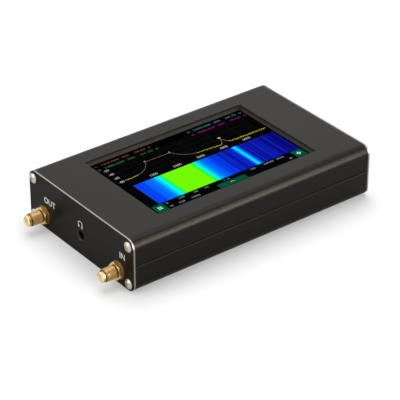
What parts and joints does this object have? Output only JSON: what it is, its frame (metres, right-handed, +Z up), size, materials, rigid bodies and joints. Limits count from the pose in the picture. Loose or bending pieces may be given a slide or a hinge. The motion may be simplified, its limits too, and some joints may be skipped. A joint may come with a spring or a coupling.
{
  "type": "handheld spectrum analyzer",
  "caption": "Flat handheld spectrum analyzer: black aluminium case with a touch display in the top, threaded coaxial sockets and a headphone jack at one end, power and charging at the other.",
  "frame": {"origin": "centre of the flat underside of the case", "axes": "+X along the case, from the connector end to the power end; +Y to the far side; +Z up, out of the display"},
  "size_m": [0.1488, 0.081, 0.0265],
  "materials": {
    "case_black": "black anodised, fine satin",
    "plate_black": "black anodised sheet with raw cut edges",
    "screw_nickel": "nickel plated, bright",
    "gasket_black": "foam, matt",
    "screen_glass": "polished touch glass",
    "panel_dark": "dark liquid crystal panel",
    "backlight_white": "white moulded frame",
    "ribbon_amber": "amber polyimide film",
    "connector_ivory": "moulded nylon",
    "board_green": "solder mask",
    "shield_steel": "tinned sheet steel",
    "chip_black": "moulded resin",
    "control_black": "fine moulded texture",
    "battery_silver": "aluminium laminate pouch",
    "lead_red": "soft insulated wire",
    "socket_gold": "gold plated, polished",
    "insulator_white": "turned fluoropolymer",
    "light_clear": "clear acrylic",
    "led_cream": "moulded lens"
  },
  "bodies": {
    "case": {"upper_shell": "case_black", "lower_shell": "case_black", "connector_plate": "plate_black", "power_plate": "plate_black", "connector_plate_screws": "screw_nickel", "power_plate_screws": "screw_nickel", "window_gasket": "gasket_black", "battery_tape": "gasket_black", "touch_glass": "screen_glass", "lcd_panel": "panel_dark", "backlight": "backlight_white", "display_ribbon": "ribbon_amber", "ribbon_socket": "connector_ivory", "battery_plug": "connector_ivory", "battery_socket": "connector_ivory", "main_board": "board_green", "shield_frame": "shield_steel", "shield_lid": "shield_steel", "headphone_lugs": "shield_steel", "charging_socket": "shield_steel", "slide_switch": "shield_steel", "signal_chips": "chip_black", "control_chips": "chip_black", "headphone_jack": "chip_black", "charging_tongue": "chip_black", "jog_switch": "chip_black", "battery_pack": "battery_silver", "battery_leads": "lead_red", "output_socket_body": "socket_gold", "output_contact": "socket_gold", "output_washer": "socket_gold", "output_nut": "socket_gold", "input_socket_body": "socket_gold", "input_contact": "socket_gold", "input_washer": "socket_gold", "input_nut": "socket_gold", "output_insulator": "insulator_white", "input_insulator": "insulator_white", "light_pipe": "light_clear", "charge_led": "led_cream"},
    "power_slider": {"power_slider": "control_black"},
    "jog_carrier": {"jog_carrier": "connector_ivory"},
    "jog_lever": {"jog_lever": "control_black"}
  },
  "joints": [
    {"name": "power_slide", "type": "slide", "parent": "case", "child": "power_slider", "axis": [0, 1, 0], "range_m": [0, 0.002]},
    {"name": "jog_press", "type": "slide", "parent": "case", "child": "jog_carrier", "axis": [-1, 0, 0], "range_m": [0, 0.0004], "stiffness_N_per_m": 1000, "springref_m": -0.0002},
    {"name": "jog_tilt", "type": "hinge", "parent": "jog_carrier", "child": "jog_lever", "pos_m": [0.062, 0.02452, 0.0089], "axis": [0, 0, 1], "range_deg": [-8, 8], "stiffness_Nm_per_rad": 0.02}
  ]
}
